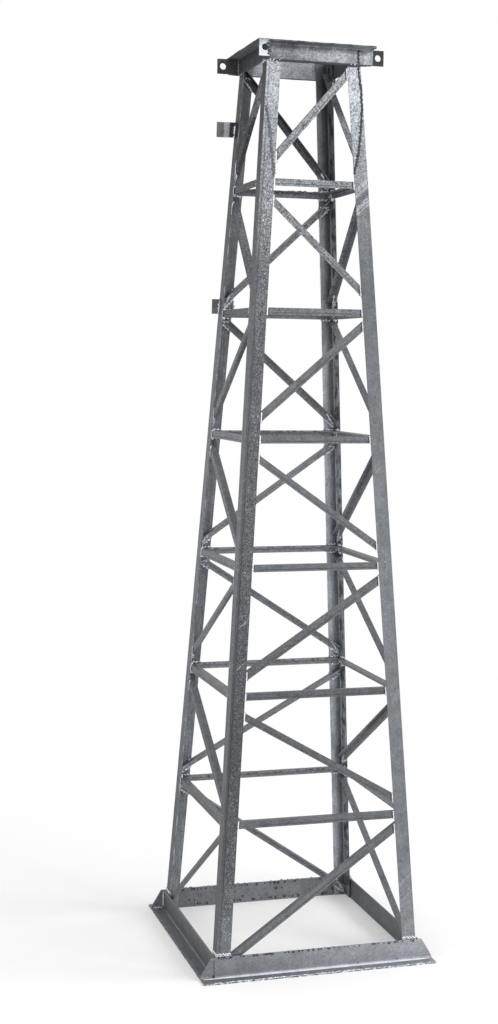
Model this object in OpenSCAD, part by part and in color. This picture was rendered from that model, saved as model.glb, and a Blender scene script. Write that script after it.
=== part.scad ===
// Open lattice tower of welded and galvanised steel angle.
// Four leaning corner legs stand in a square base frame and carry a square head frame.
// Six rings of light angle and one diagonal on each face of each bay stiffen them.
// The ground is at z = 0, the front faces -Y, and the tower's axis is the Z axis.

/* [Tower] */
// Height from the ground to the top of the head frame
tower_h = 2438; // [2000:1:3000]
// Distance across the heels of two legs at the ground
foot_w = 566; // [480:1:700]
// Distance across the heels of two legs at the top
head_w = 253; // [220:1:400]

/* [Legs] */
// Width of each flange of a leg
leg_flange = 38; // [36:0.5:50]
// Thickness of a leg
leg_wall = 3.2; // [2.5:0.1:5]
// Radius of the fillet inside a leg's heel
leg_root = 4; // [2:0.5:6]

/* [Lattice] */
// Width of each flange of a ring bar or brace
bar_flange = 19; // [14:0.5:24]
// Thickness of a ring bar or brace
bar_wall = 3; // [2:0.1:4]
// Radius of the fillet inside a ring bar's or brace's heel
bar_root = 2.5; // [1:0.5:4]
// Height of the top of the lowest ring
ring_low = 407; // [300:1:450]
// Height of the top bay, from the top of the highest ring to the tower's top
top_bay = 351; // [330:1:400]
// Height of each brace's top edge over the ring below it, at the leg's edge, lowest bay first
brace_rise = [56, 50, 55, 55, 61, 62, 69]; // [45:1:80]
// Depth of each brace's top edge under the ring over it, at the leg's edge, lowest bay first
brace_drop = [35, 49, 39, 47, 33, 45, 58]; // [30:1:65]

/* [Base frame] */
// Height of the upright web of a base bar
base_web = 58; // [45:1:75]
// Width of the flange of a base bar, web included
base_flange = 40; // [30:1:60]
// Thickness of a base bar
base_wall = 5; // [4:0.1:7]
// Radius of the fillet inside a base bar's corner
base_root = 5; // [2:0.5:8]
// Length of the slope that ends the webs of the front and back base bars
base_slope = 29; // [15:1:32]
// Height at which that slope ends on the bar's end
base_slope_foot = 10; // [8:1:25]

/* [Head frame] */
// Depth of the upright web of a head bar
head_web = 45; // [42:1:55]
// Width of the flange of a head bar, web included
head_flange = 32; // [28:1:45]
// Thickness of a head bar
head_wall = 4; // [3:0.1:5]
// Radius of the fillet inside a head bar's corner
head_root = 4; // [2:0.5:6]

/* [Ears] */
// Height of the plate of a long ear
ear_h = 40; // [30:1:40]
// Thickness of an ear
ear_wall = 5; // [4:0.1:6]
// How far a long ear reaches past the head frame
ear_reach = 32; // [28:1:60]
// Diameter of the hole in an ear
ear_hole = 17.5; // [10:0.5:20]
// Distance from the hole's centre to the outer end of the ear
ear_hole_edge = 15.5; // [14:0.5:20]
// Width of an end ear, which closes the open end of a head bar
end_ear_w = 27; // [25:0.5:32]
// Height of an end ear
end_ear_h = 44; // [30:1:50]

/* [Straps] */
// Depth of the middle of the upper strap under the tower's top
upper_strap_drop = 192; // [120:1:300]
// Depth of the middle of the lower strap under the tower's top
lower_strap_drop = 676; // [620:1:720]
// Height of the band that a strap is made of
strap_h = 41; // [20:1:50]
// Thickness of a strap
strap_wall = 4; // [2:0.1:5]
// Distance from the middle of the back face to the straps' outer ends
strap_line = 187.5; // [182:0.5:220]
// Length of a strap's outer flat
strap_flat = 19.5; // [15:0.5:30]
// Length of the bend between a strap's two flats
strap_bend = 15; // [10:0.5:25]
// How far the bend sets the outer flat off
strap_offset = 8; // [5:0.5:14]
// How far the band of a strap laps onto the leg
strap_lap = 26; // [24:1:34]

/* [Fits] */
// Clearance where one bar lies on or butts against another
seat = 0.2; // [0.1:0.05:0.5]
// Clearance between the end of a brace and the ring next to it
brace_gap = 3; // [2:0.5:6]

/* [Hidden] */
$fn = 48;

ring_count = 6;
foot_half = foot_w / 2;
head_half = head_w / 2;
// Angle by which each face leans inwards, and each leg along its diagonal
face_lean = atan((foot_half - head_half) / tower_h);
leg_tilt = atan(sqrt(2) * (foot_half - head_half) / tower_h);
// Depth under the faces of the plane that ring bars and braces lie in
lap_plane = leg_wall + seat;
// Distance kept from the heel by what lies inside a leg
heel_clear = leg_wall + leg_root + seat;
base_in = foot_half + seat;
base_out = base_in + base_wall;
base_reach = base_in + base_flange;
head_in = half_at(tower_h - head_web) + seat;
head_out = head_in + head_wall;
head_reach = head_in + head_flange;
ear_low = tower_h - head_wall - seat - ear_h;
ear_mid = ear_low + ear_h / 2;

ring_pitch = (tower_h - ring_low - top_bay) / (ring_count - 1);

// Half the distance across the leg heels at a height
function half_at(z) = foot_half + (head_half - foot_half) * z / tower_h;

// Height of the top of a ring; ring 0 is the ground and the one past the last is the tower's top
function ring_top(k) = k < 1 ? 0 : k > ring_count ? tower_h : ring_low + ring_pitch * (k - 1);

// A height measured along a leaning face
function up_face(z) = z / cos(face_lean);

// Section of a rolled angle: heel at the origin, flanges along +X and +Y
module angle_section(across, up, wall, root) {
    toe = wall / 2;
    difference() {
        union() {
            square([across, wall]);
            square([wall, up]);
            translate([wall, wall]) difference() {
                square(root);
                translate([root, root]) circle(r = root);
            }
        }
        translate([across - toe, wall - toe]) difference() {
            square(2 * toe);
            circle(r = toe);
        }
        translate([wall - toe, up - toe]) difference() {
            square(2 * toe);
            circle(r = toe);
        }
    }
}

// Angle bar along +X: flange towards +Y, web hanging down from it
module hung_angle(length, flange, web, wall, root) {
    rotate([90, 0, 90]) linear_extrude(height = length)
        mirror([0, 1]) angle_section(flange, web, wall, root);
}

// Places what is drawn on the front face on face i, counted from the front to the right:
// X runs across the face from its middle, Y into the tower and Z up the slope
module on_face(i) {
    rotate([0, 0, 90 * i]) translate([0, -foot_half, 0]) rotate([-face_lean, 0, 0]) children();
}

// Leg i, counted from the front left to the right: an angle with its heel on the corner
module leg(i) {
    spare = leg_flange;
    color([0.55, 0.57, 0.58]) rotate([0, 0, 90 * i]) intersection() {
        translate([-foot_half, -foot_half, 0])
            rotate([0, 0, 45]) rotate([0, leg_tilt, 0]) rotate([0, 0, -45])
            translate([0, 0, -spare]) linear_extrude(height = tower_h + 3 * spare)
            angle_section(leg_flange, leg_flange, leg_wall, leg_root);
        translate([-foot_w, -foot_w, 0]) cube([foot_w, foot_w, tower_h]);
    }
}

// Front base bar: runs the full width, and its web slopes down at both ends
module long_base_bar() {
    color([0.5, 0.52, 0.53]) difference() {
        translate([-base_reach, -base_in, 0]) rotate([90, 0, 90])
            linear_extrude(height = 2 * base_reach)
            mirror([1, 0]) angle_section(base_flange, base_web, base_wall, base_root);
        for (side = [0, 1]) mirror([side, 0, 0])
            translate([0, -base_in + base_wall, 0]) rotate([90, 0, 0])
            linear_extrude(height = base_flange + 2 * base_wall) polygon([
                [base_reach - base_slope, base_web],
                [base_reach, base_slope_foot],
                [base_reach + base_wall, base_slope_foot],
                [base_reach + base_wall, base_web + base_wall],
                [base_reach - base_slope, base_web + base_wall]
            ]);
    }
}

// Right base bar: fits between the webs of the front and back bars
module short_base_bar() {
    length = 2 * (base_in - seat);
    color([0.45, 0.47, 0.48]) rotate([0, 0, 90])
        translate([-length / 2, -base_in, 0]) rotate([90, 0, 90])
        linear_extrude(height = length)
        mirror([1, 0]) angle_section(base_flange, base_web, base_wall, base_root);
}

// Head bar i, counted from the front to the right: starts at the web of the bar on its left
// and runs out past the web of the bar on its right
module head_bar(i) {
    color([0.66, 0.68, 0.69]) rotate([0, 0, 90 * i])
        translate([-head_in + seat, -head_in, tower_h]) rotate([90, 0, 90])
        linear_extrude(height = head_in - seat + head_reach)
        mirror([1, 0]) mirror([0, 1]) angle_section(head_flange, head_web, head_wall, head_root);
}

// Ring k, counted from the ground: the front and back bars run into the legs' heels,
// and the side bars butt against them
module ring(k) {
    z = ring_top(k);
    long_half = half_at(z) - heel_clear;
    short_half = half_at(z) - lap_plane - bar_flange - seat;
    color([0.5, 0.52, 0.53]) for (i = [0:3]) {
        half = i % 2 == 0 ? long_half : short_half;
        on_face(i) translate([-half, lap_plane, up_face(z)])
            hung_angle(2 * half, bar_flange, bar_flange, bar_wall, bar_root);
    }
}

// The space on a face that a brace of bay k may fill: between two rings and two legs' heels
module bay_window(k) {
    low = ring_top(k - 1) + (k > 1 ? brace_gap : seat);
    high = ring_top(k) - (k > ring_count ? seat : bar_flange + brace_gap);
    translate([0, lap_plane + bar_flange + seat, 0]) rotate([90, 0, 0])
        linear_extrude(height = bar_flange + 2 * seat) polygon([
            [half_at(low) - heel_clear, up_face(low)],
            [half_at(high) - heel_clear, up_face(high)],
            [heel_clear - half_at(high), up_face(high)],
            [heel_clear - half_at(low), up_face(low)]
        ]);
}

// Braces of bay k, counted from the ground: one on each face, rising to the right in odd
// bays and to the left in even ones, with their ends cut to the rings and the legs
module braces(k) {
    low = ring_top(k - 1) + brace_rise[k - 1];
    high = ring_top(k) - brace_drop[k - 1];
    run = half_at(low) + half_at(high) - 2 * leg_flange;
    rise = up_face(high) - up_face(low);
    length = norm([run, rise]);
    spare = 2 * leg_flange;
    color([0.47, 0.49, 0.5]) for (i = [0:3]) on_face(i) mirror([(k + 1) % 2, 0, 0])
        intersection() {
            translate([leg_flange - half_at(low), lap_plane, up_face(low)])
                rotate([0, -atan2(rise, run), 0]) translate([-spare, 0, 0])
                hung_angle(length + 2 * spare, bar_flange, bar_flange, bar_wall, bar_root);
            bay_window(k);
        }
}

// Front left ear: closes the open end of the left head bar, flush with its flange
module end_ear() {
    color([0.7, 0.72, 0.73]) difference() {
        translate([-head_reach, -head_reach - seat - ear_wall, tower_h - end_ear_h])
            cube([end_ear_w, ear_wall, end_ear_h]);
        translate([ear_hole_edge - head_reach, -head_reach, tower_h - end_ear_h / 2])
            rotate([90, 0, 0]) cylinder(h = 4 * ear_wall, d = ear_hole, center = true);
    }
}

// Front right ear: lies on the inside of the front head bar's web and reaches past its end
module long_ear() {
    start = head_out + seat;
    end = head_reach + ear_reach;
    color([0.7, 0.72, 0.73]) difference() {
        translate([start, seat - head_in, ear_low]) cube([end - start, ear_wall, ear_h]);
        translate([end - ear_hole_edge, seat + ear_wall / 2 - head_in, ear_mid])
            rotate([90, 0, 0]) cylinder(h = 2 * ear_wall, d = ear_hole, center = true);
    }
}

// Strap on the outside of the back left leg: lies on the leg, then bends out to its outer flat
module strap(z) {
    bend_in = strap_line - strap_flat - strap_bend;
    start = min(half_at(z), bend_in) - strap_lap;
    color([0.5, 0.51, 0.5]) on_face(2)
        translate([0, -seat, up_face(z) - strap_h / 2]) linear_extrude(height = strap_h) polygon([
            [start, 0],
            [bend_in, 0],
            [bend_in + strap_bend, -strap_offset],
            [strap_line, -strap_offset],
            [strap_line, -strap_offset - strap_wall],
            [bend_in + strap_bend, -strap_offset - strap_wall],
            [bend_in, -strap_wall],
            [start, -strap_wall]
        ]);
}

leg(0);  // leg_front_left
leg(1);  // leg_front_right
leg(2);  // leg_back_right
leg(3);  // leg_back_left
long_base_bar();  // base_front
rotate([0, 0, 180]) long_base_bar();  // base_back
rotate([0, 0, 180]) short_base_bar();  // base_left
short_base_bar();  // base_right
head_bar(0);  // head_front
head_bar(1);  // head_right
head_bar(2);  // head_back
head_bar(3);  // head_left
ring(1);  // ring_1
ring(2);  // ring_2
ring(3);  // ring_3
ring(4);  // ring_4
ring(5);  // ring_5
ring(6);  // ring_6
braces(1);  // braces_bay_1
braces(2);  // braces_bay_2
braces(3);  // braces_bay_3
braces(4);  // braces_bay_4
braces(5);  // braces_bay_5
braces(6);  // braces_bay_6
braces(7);  // braces_bay_7
end_ear();  // ear_front_left
long_ear();  // ear_front_right
rotate([0, 0, 180]) end_ear();  // ear_back_right
rotate([0, 0, 180]) long_ear();  // ear_back_left
strap(tower_h - upper_strap_drop);  // strap_upper
strap(tower_h - lower_strap_drop);  // strap_lower
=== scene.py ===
"""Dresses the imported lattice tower: hot-dip galvanised angle steel with its welds and the zinc
that gathered on them, on a pale floor in a plain studio. All lengths are in metres."""
from math import atan2, cos, pi, radians, sin

import bpy
import numpy as np
from mathutils import Matrix, Vector


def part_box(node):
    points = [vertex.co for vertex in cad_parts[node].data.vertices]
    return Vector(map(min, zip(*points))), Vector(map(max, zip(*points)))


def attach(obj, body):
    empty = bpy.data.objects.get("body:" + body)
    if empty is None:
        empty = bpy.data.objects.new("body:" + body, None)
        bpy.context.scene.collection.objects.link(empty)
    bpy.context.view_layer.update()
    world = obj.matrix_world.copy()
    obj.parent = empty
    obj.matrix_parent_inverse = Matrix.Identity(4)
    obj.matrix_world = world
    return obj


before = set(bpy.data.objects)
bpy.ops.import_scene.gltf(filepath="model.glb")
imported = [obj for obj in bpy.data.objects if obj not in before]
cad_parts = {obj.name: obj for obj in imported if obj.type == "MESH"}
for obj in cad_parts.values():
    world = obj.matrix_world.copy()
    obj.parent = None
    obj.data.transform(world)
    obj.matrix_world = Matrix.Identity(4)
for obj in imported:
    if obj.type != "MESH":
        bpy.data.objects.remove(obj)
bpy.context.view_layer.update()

FRONT, RIGHT, BACK, LEFT = range(4)
RINGS = [f"ring_{k}" for k in range(1, 7)]
BAYS = [f"braces_bay_{k}" for k in range(1, 8)]
LEGS = ["leg_front_left", "leg_front_right", "leg_back_right", "leg_back_left"]
EARS = ["ear_front_left", "ear_front_right", "ear_back_right", "ear_back_left"]
STRAPS = ["strap_upper", "strap_lower"]

# Walls of the rolled angles and of an ear, the flange of a lattice bar, and the clearance where
# one piece lies on another
LEG_WALL = 0.0032
BAR_WALL = 0.003
BASE_WALL = 0.005
HEAD_WALL = 0.004
EAR_WALL = 0.005
BAR_FLANGE = 0.019
SEAT = 0.0002
# Depth under the outside of a face of the plane on which its lattice bars lie
LAP_PLANE = LEG_WALL + SEAT


# ------------------------------------------------------------------ camera

CAMERA_PLACE = (-1.375, -4.246, 1.601)
CAMERA_AZIMUTH = radians(-16.414)
CAMERA_ELEVATION = radians(5.193)
CAMERA_ROLL = radians(0.748)
CAMERA_LENS = 56.98


def make_camera():
    """A level sight line turned by azimuth about Z, tipped by elevation and rolled about itself."""
    back = Vector((sin(CAMERA_AZIMUTH) * cos(CAMERA_ELEVATION),
                   -cos(CAMERA_AZIMUTH) * cos(CAMERA_ELEVATION),
                   sin(CAMERA_ELEVATION)))
    right = Vector((cos(CAMERA_AZIMUTH), sin(CAMERA_AZIMUTH), 0))
    up = back.cross(right)
    turned_right = right * cos(CAMERA_ROLL) + up * sin(CAMERA_ROLL)
    turned_up = up * cos(CAMERA_ROLL) - right * sin(CAMERA_ROLL)
    data = bpy.data.cameras.new("camera")
    data.lens = CAMERA_LENS
    camera = bpy.data.objects.new("camera", data)
    turn = Matrix((turned_right, turned_up, back)).transposed().to_4x4()
    camera.matrix_world = Matrix.Translation(CAMERA_PLACE) @ turn
    bpy.context.scene.collection.objects.link(camera)
    bpy.context.scene.camera = camera


# ------------------------------------------------------------------ lines of the tower

def corners(node):
    """Every corner of a CAD node's mesh, each once, as rows of x, y, z."""
    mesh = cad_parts[node].data
    flat = np.empty(3 * len(mesh.vertices))
    mesh.vertices.foreach_get("co", flat)
    return np.unique(flat.reshape(-1, 3).round(6), axis=0)


leg_corners = corners("leg_front_left")
TOWER_H = leg_corners[:, 2].max()
FOOT_HALF = -leg_corners[:, 0].min()
HEAD_HALF = -leg_corners[leg_corners[:, 2] > TOWER_H - 1e-5, 0].min()
LEG_FLANGE = leg_corners[:, 0].max() + HEAD_HALF
LEAN = atan2(FOOT_HALF - HEAD_HALF, TOWER_H)


def half_at(z):
    """Half the distance across the leg heels at a height: straight from the foot to the head."""
    return FOOT_HALF + (HEAD_HALF - FOOT_HALF) * z / TOWER_H


def edge_at(w):
    """Half the distance between the free edges of a face's two legs, w up the slope."""
    return FOOT_HALF - w * sin(LEAN) - LEG_FLANGE


def from_face(i, u, v, w):
    """Places face measures in the room: u across face i, v into the tower and w up its slope.
    The face is tipped inwards by LEAN about its foot line, then turned i quarter turns."""
    y = v * cos(LEAN) + w * sin(LEAN) - FOOT_HALF
    z = w * cos(LEAN) - v * sin(LEAN)
    return turn_face(i, u, y, z)


def turn_face(i, x, y, z):
    """Turns what is placed on the front by i quarter turns about the tower's axis."""
    c, s = cos(i * pi / 2), sin(i * pi / 2)
    x, y, z = np.broadcast_arrays(x, y, z)
    return np.stack([x * c - y * s, x * s + y * c, z], axis=-1)


def to_face(i, points):
    """Face measures u, v, w of points in the room: the reverse of from_face."""
    c, s = cos(i * pi / 2), sin(i * pi / 2)
    u = points[:, 0] * c + points[:, 1] * s
    y = points[:, 1] * c - points[:, 0] * s + FOOT_HALF
    v = y * cos(LEAN) - points[:, 2] * sin(LEAN)
    w = y * sin(LEAN) + points[:, 2] * cos(LEAN)
    return u, v, w


class Web:
    """The outer side of a bar's web on one face. It is flat and convex, so its lower and upper
    edges at u are the least and greatest heights there on the lines between any two corners."""

    def __init__(self, node, face):
        u, v, w = to_face(face, corners(node))
        flat = np.abs(v - LAP_PLANE) < SEAT
        self.u, self.w = u[flat], w[flat]

    def edges(self, at):
        """Heights of the web's lower and upper edge at each u."""
        at = np.atleast_1d(at)[:, None, None]
        u0, u1, w0 = self.u[None, :, None], self.u[None, None, :], self.w[None, :, None]
        run = u1 - u0
        share = (at - u0) / np.where(np.abs(run) > 1e-6, run, np.inf)
        height = w0 + share * (self.w[None, None, :] - w0)
        inside = (np.abs(run) > 1e-6) & (share >= -1e-6) & (share <= 1 + 1e-6)
        low = np.where(inside, height, np.inf).min(axis=(1, 2))
        high = np.where(inside, height, -np.inf).max(axis=(1, 2))
        return low, high

    def end(self, side):
        """u of the web's end on that side, and u where it comes out past the leg's edge."""
        tip = side * (side * self.u).max()
        out = side * edge_at(self.w.mean())
        for _ in range(3):
            low, high = self.edges(out)
            out = side * edge_at((low[0] + high[0]) / 2)
        return tip, out


# ------------------------------------------------------------------ pieces

def unit(vectors):
    """Vectors scaled to a length of one."""
    return vectors / np.linalg.norm(vectors, axis=-1, keepdims=True)


class Beads:
    """Collects lumpy beads of weld metal or zinc, and makes them one piece."""

    def __init__(self, seed, steps=15, sides=8):
        self.random = np.random.default_rng(seed)
        self.steps, self.sides = steps, sides
        self.rows = []

    def add(self, start, end, lift, wide, high, lumps=0.22):
        """Beads from start to end with their crowns towards lift, one for each row of those.
        wide is half a bead's width, high the height of its crown and lumps its unevenness."""
        start, end, lift = (np.atleast_2d(np.asarray(a, dtype=float)) for a in (start, end, lift))
        count = max(len(start), len(end), len(lift))
        lines = [np.broadcast_to(a, (count, 3)) for a in (start, end, lift)]
        sizes = [np.broadcast_to(a, count) for a in (wide, high, lumps)]
        self.rows.append((*lines, *sizes))

    def along(self, start, end, lift, count, length, size, lumps=0.4, crown=0.8):
        """Short beads scattered along an edge from start to end, as many as count. Each is as
        long as length and as thick as size, times a random share; crown is its height for its
        thickness."""
        start, end = np.asarray(start, dtype=float), np.asarray(end, dtype=float)
        reach = np.linalg.norm(end - start)
        middle = self.random.uniform(0.01, 0.99, (count, 1))
        half = self.random.uniform(0.25, 0.9, (count, 1)) * length / reach / 2
        thick = self.random.uniform(0.5, 1.0, count) * size
        first = start + (end - start) * np.clip(middle - half, 0, 1)
        last = start + (end - start) * np.clip(middle + half, 0, 1)
        self.add(first, last, lift, thick, thick * crown, lumps)

    def line(self, points, lift, wide, high, lumps=0.3):
        """A run along a bent line: beads from each point to the next, overlapping a little."""
        points = np.asarray(points)
        step = points[1:] - points[:-1]
        self.add(points[:-1] - 0.12 * step, points[1:] + 0.12 * step, lift, wide, high, lumps)

    def points(self):
        """A point is the bead's line at s, plus the sideways direction times cos a times the half
        width and the crown's direction times sin a times the height. Both sizes are scaled by
        (1 - (2s - 1)^4)^(1/2), which closes the ends, and by lumps and ripples that run along."""
        start, end, lift, wide, high, lumps = (np.concatenate(a) for a in zip(*self.rows))
        count = len(start)
        s = ((1 - np.cos(np.linspace(0, pi, self.steps + 2)[1:-1])) / 2)[None]
        a = np.linspace(0, 2 * pi, self.sides, endpoint=False)
        length = np.linalg.norm(end - start, axis=1)[:, None]
        forward = unit(end - start)
        across = unit(np.cross(lift, forward))
        crown = np.cross(forward, across)
        phase = self.random.uniform(0, 2 * pi, (4, count, 1))
        slow = np.sin(2 * pi * length * s / 0.009 + phase[0])
        fast = np.sin(2 * pi * length * s / 0.0042 + phase[1])
        size = np.sqrt(1 - (2 * s - 1) ** 4) * (1 + lumps[:, None] * (slow + 0.6 * fast))
        sway = (lumps * wide)[:, None] * np.sin(2 * pi * length * s / 0.013 + phase[2])
        middle = start[:, None] + (end - start)[:, None] * s[..., None]
        middle = middle + across[:, None] * sway[..., None]
        uneven = 1 + 0.5 * lumps[:, None, None] * np.sin(
            3 * a + phase[3][..., None] + 9 * s[..., None])
        out = size[..., None] * uneven
        sideways = across[:, None, None] * (np.cos(a) * out * wide[:, None, None])[..., None]
        upwards = crown[:, None, None] * (np.sin(a) * out * high[:, None, None])[..., None]
        points = middle[:, :, None] + sideways + upwards
        return np.concatenate([points.reshape(count, -1, 3), start[:, None], end[:, None]], axis=1)

    def make(self, name, material, slot):
        """Joins each bead's rings of points by quads and closes its two ends with fans."""
        blocks = self.points()
        n, m = self.steps, self.sides
        j, a = np.meshgrid(np.arange(n - 1), np.arange(m), indexing="ij")
        b = (a + 1) % m
        quads = np.stack([j * m + a, j * m + b, (j + 1) * m + b, (j + 1) * m + a], axis=-1)
        a, b = np.arange(m), (np.arange(m) + 1) % m
        first = np.stack([np.full(m, n * m), b, a], axis=-1)
        last = np.stack([np.full(m, n * m + 1), (n - 1) * m + a, (n - 1) * m + b], axis=-1)
        shift = (np.arange(len(blocks)) * blocks.shape[1])[:, None, None]
        quads = (quads.reshape(1, -1, 4) + shift).reshape(-1, 4).tolist()
        fans = (np.concatenate([first, last])[None] + shift).reshape(-1, 3).tolist()
        mesh = bpy.data.meshes.new(name)
        mesh.from_pydata(blocks.reshape(-1, 3).tolist(), [], quads + fans)
        mesh.polygons.foreach_set("use_smooth", np.ones(len(mesh.polygons), dtype=bool))
        mesh.materials.append(material)
        piece = bpy.data.objects.new(name, mesh)
        bpy.context.scene.collection.objects.link(piece)
        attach(piece, "root")


# ------------------------------------------------------------------ nodes

def add(tree, kind, inputs=None, **settings):
    """A node of that kind, with its settings, and its inputs set or linked."""
    node = tree.nodes.new(kind)
    for name, value in settings.items():
        setattr(node, name, value)
    for key, value in (inputs or {}).items():
        socket = node.inputs[key]
        if isinstance(value, bpy.types.NodeSocket):
            tree.links.new(value, socket)
        else:
            socket.default_value = value
    return node


def maths(tree, operation, *values, clamp=False):
    """A Math node of the values, and what it puts out."""
    inputs = dict(enumerate(values))
    return add(tree, "ShaderNodeMath", inputs, operation=operation, use_clamp=clamp).outputs[0]


def ramp(tree, value, low, high, to_low=0.0, to_high=1.0):
    """value carried smoothly from low..high to to_low..to_high."""
    inputs = {"Value": value, "From Min": low, "From Max": high,
              "To Min": to_low, "To Max": to_high}
    return add(tree, "ShaderNodeMapRange", inputs, interpolation_type="SMOOTHSTEP").outputs[0]


def group(name, inputs, outputs):
    """An empty node group with float inputs, a Vector input before them, and named outputs."""
    tree = bpy.data.node_groups.new(name, "ShaderNodeTree")
    tree.interface.new_socket("Vector", in_out="INPUT", socket_type="NodeSocketVector")
    for label, value in inputs.items():
        socket = tree.interface.new_socket(label, in_out="INPUT", socket_type="NodeSocketFloat")
        socket.default_value = value
    for label in outputs:
        tree.interface.new_socket(label, in_out="OUTPUT", socket_type="NodeSocketFloat")
    source = tree.nodes.new("NodeGroupInput")
    sink = tree.nodes.new("NodeGroupOutput")
    return tree, source.outputs, sink.inputs


def stretched(tree, vector, scale, turn=(0, 0, 0)):
    """Coordinates turned and then scaled, so that a pattern on them is drawn out."""
    inputs = {"Vector": vector, "Rotation": turn}
    turned = add(tree, "ShaderNodeMapping", inputs).outputs[0]
    return add(tree, "ShaderNodeMapping", {"Vector": turned, "Scale": scale}).outputs[0]


def group_spangle():
    """Zinc crystals: cells with a tone each, over cloudy patches and fine grain."""
    tree, given, out = group("zinc_spangle", {"Cell": 0.006, "Patch": 0.03},
                             ["Spangle", "Cloud", "Grain"])
    per_cell = maths(tree, "DIVIDE", 1.0, given["Cell"])
    cells = add(tree, "ShaderNodeTexVoronoi", {"Vector": given["Vector"], "Scale": per_cell})
    tone = add(tree, "ShaderNodeSeparateColor", {0: cells.outputs["Color"]}).outputs[0]
    fine = add(tree, "ShaderNodeTexNoise",
               {"Vector": given["Vector"], "Scale": maths(tree, "MULTIPLY", per_cell, 1.6),
                "Detail": 3.0, "Roughness": 0.7}).outputs[0]
    cloud = add(tree, "ShaderNodeTexNoise",
                {"Vector": given["Vector"], "Scale": maths(tree, "DIVIDE", 1.0, given["Patch"]),
                 "Detail": 4.0, "Roughness": 0.6}).outputs[0]
    grain = ramp(tree, fine, 0.32, 0.68)
    tree.links.new(maths(tree, "MULTIPLY_ADD", tone, 0.35, maths(tree, "MULTIPLY", grain, 0.65)),
                   out["Spangle"])
    tree.links.new(ramp(tree, cloud, 0.3, 0.7), out["Cloud"])
    tree.links.new(grain, out["Grain"])
    return tree


def group_pebbles():
    """Worm-like ridges in thick zinc: where a noise crosses its middle value."""
    tree, given, out = group("zinc_pebbles", {"Size": 0.006}, ["Pebbles"])
    noise = add(tree, "ShaderNodeTexNoise",
                {"Vector": given["Vector"], "Scale": maths(tree, "DIVIDE", 1.0, given["Size"]),
                 "Detail": 1.0}).outputs[0]
    off = maths(tree, "ABSOLUTE", maths(tree, "SUBTRACT", noise, 0.5))
    tree.links.new(ramp(tree, off, 0.05, 0.01), out["Pebbles"])
    return tree


def group_runs():
    """Streaks that the zinc left as it ran off down the height of the tower."""
    tree, given, out = group("zinc_runs", {"Width": 0.005, "Length": 0.15}, ["Runs"])
    across = maths(tree, "DIVIDE", 1.0, given["Width"])
    scale = add(tree, "ShaderNodeCombineXYZ",
                {0: across, 1: across, 2: maths(tree, "DIVIDE", 1.0, given["Length"])}).outputs[0]
    drawn = add(tree, "ShaderNodeVectorMath", {0: given["Vector"], 1: scale},
                operation="MULTIPLY").outputs[0]
    noise = add(tree, "ShaderNodeTexNoise", {"Vector": drawn, "Scale": 1.0, "Detail": 2.0})
    tree.links.new(ramp(tree, noise.outputs[0], 0.35, 0.65), out["Runs"])
    return tree


def group_specks():
    """Grains of dross: small round spots of uneven size, in some cells only."""
    tree, given, out = group("zinc_specks", {"Spacing": 0.014, "Size": 0.22}, ["Specks"])
    scale = maths(tree, "DIVIDE", 1.0, given["Spacing"])
    cells = add(tree, "ShaderNodeTexVoronoi", {"Vector": given["Vector"], "Scale": scale})
    tone = add(tree, "ShaderNodeSeparateColor", {0: cells.outputs["Color"]}).outputs[0]
    reach = maths(tree, "MULTIPLY", given["Size"], ramp(tree, tone, 0.5, 1.0))
    off = maths(tree, "SUBTRACT", reach, cells.outputs["Distance"])
    tree.links.new(ramp(tree, off, 0.0, 0.06), out["Specks"])
    return tree


def group_rubs():
    """Rub marks: short thin lines that rise across the steel, drawn-out spots in turned cells."""
    tree, given, out = group("zinc_rubs", {"Spacing": 0.08, "Size": 0.2}, ["Rubs"])
    scale = maths(tree, "DIVIDE", 1.0, given["Spacing"])
    drawn = stretched(tree, given["Vector"], (1.0, 0.4, 14.0), (0.0, radians(42), 0.0))
    cells = add(tree, "ShaderNodeTexVoronoi", {"Vector": drawn, "Scale": scale})
    tone = add(tree, "ShaderNodeSeparateColor", {0: cells.outputs["Color"]}).outputs[1]
    reach = maths(tree, "MULTIPLY", given["Size"], ramp(tree, tone, 0.6, 1.0))
    off = maths(tree, "SUBTRACT", reach, cells.outputs["Distance"])
    tree.links.new(ramp(tree, off, 0.0, 0.08), out["Rubs"])
    return tree


def group_scuffs():
    """A patch of fine parallel scratches that rise to the right, about a line across a front
    face: height less x is Middle there, Reach is half the patch's width, and the scratches are
    sparser the higher Sparse is."""
    tree, given, out = group("zinc_scuffs", {"Middle": 1.0, "Reach": 0.03, "Sparse": 0.57},
                             ["Scuffs"])
    part = add(tree, "ShaderNodeSeparateXYZ", {0: given["Vector"]}).outputs
    off = maths(tree, "SUBTRACT", maths(tree, "SUBTRACT", part[2], part[0]), given["Middle"])
    edge = maths(tree, "SUBTRACT", given["Reach"], maths(tree, "ABSOLUTE", off))
    drawn = stretched(tree, given["Vector"], (190.0, 12.0, 9.0), (0.0, radians(-48), 0.0))
    lines = add(tree, "ShaderNodeTexNoise", {"Vector": drawn, "Scale": 1.0, "Detail": 1.0})
    lines = ramp(tree, lines.outputs[0], given["Sparse"],
                 maths(tree, "ADD", given["Sparse"], 0.09))
    tree.links.new(maths(tree, "MULTIPLY", lines, ramp(tree, edge, 0.0, 0.008)), out["Scuffs"])
    return tree


def group_heel():
    """Distance of a point on a leg from its heel line, as the tower narrows with height."""
    tree, given, out = group("leg_heel", {}, ["Across X", "Across Y"])
    part = add(tree, "ShaderNodeSeparateXYZ", {0: given["Vector"]})
    slope = (HEAD_HALF - FOOT_HALF) / TOWER_H
    half = maths(tree, "MULTIPLY_ADD", part.outputs[2], slope, FOOT_HALF)
    for axis, label in ((0, "Across X"), (1, "Across Y")):
        reach = maths(tree, "ABSOLUTE", part.outputs[axis])
        tree.links.new(maths(tree, "SUBTRACT", half, reach), out[label])
    return tree


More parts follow.
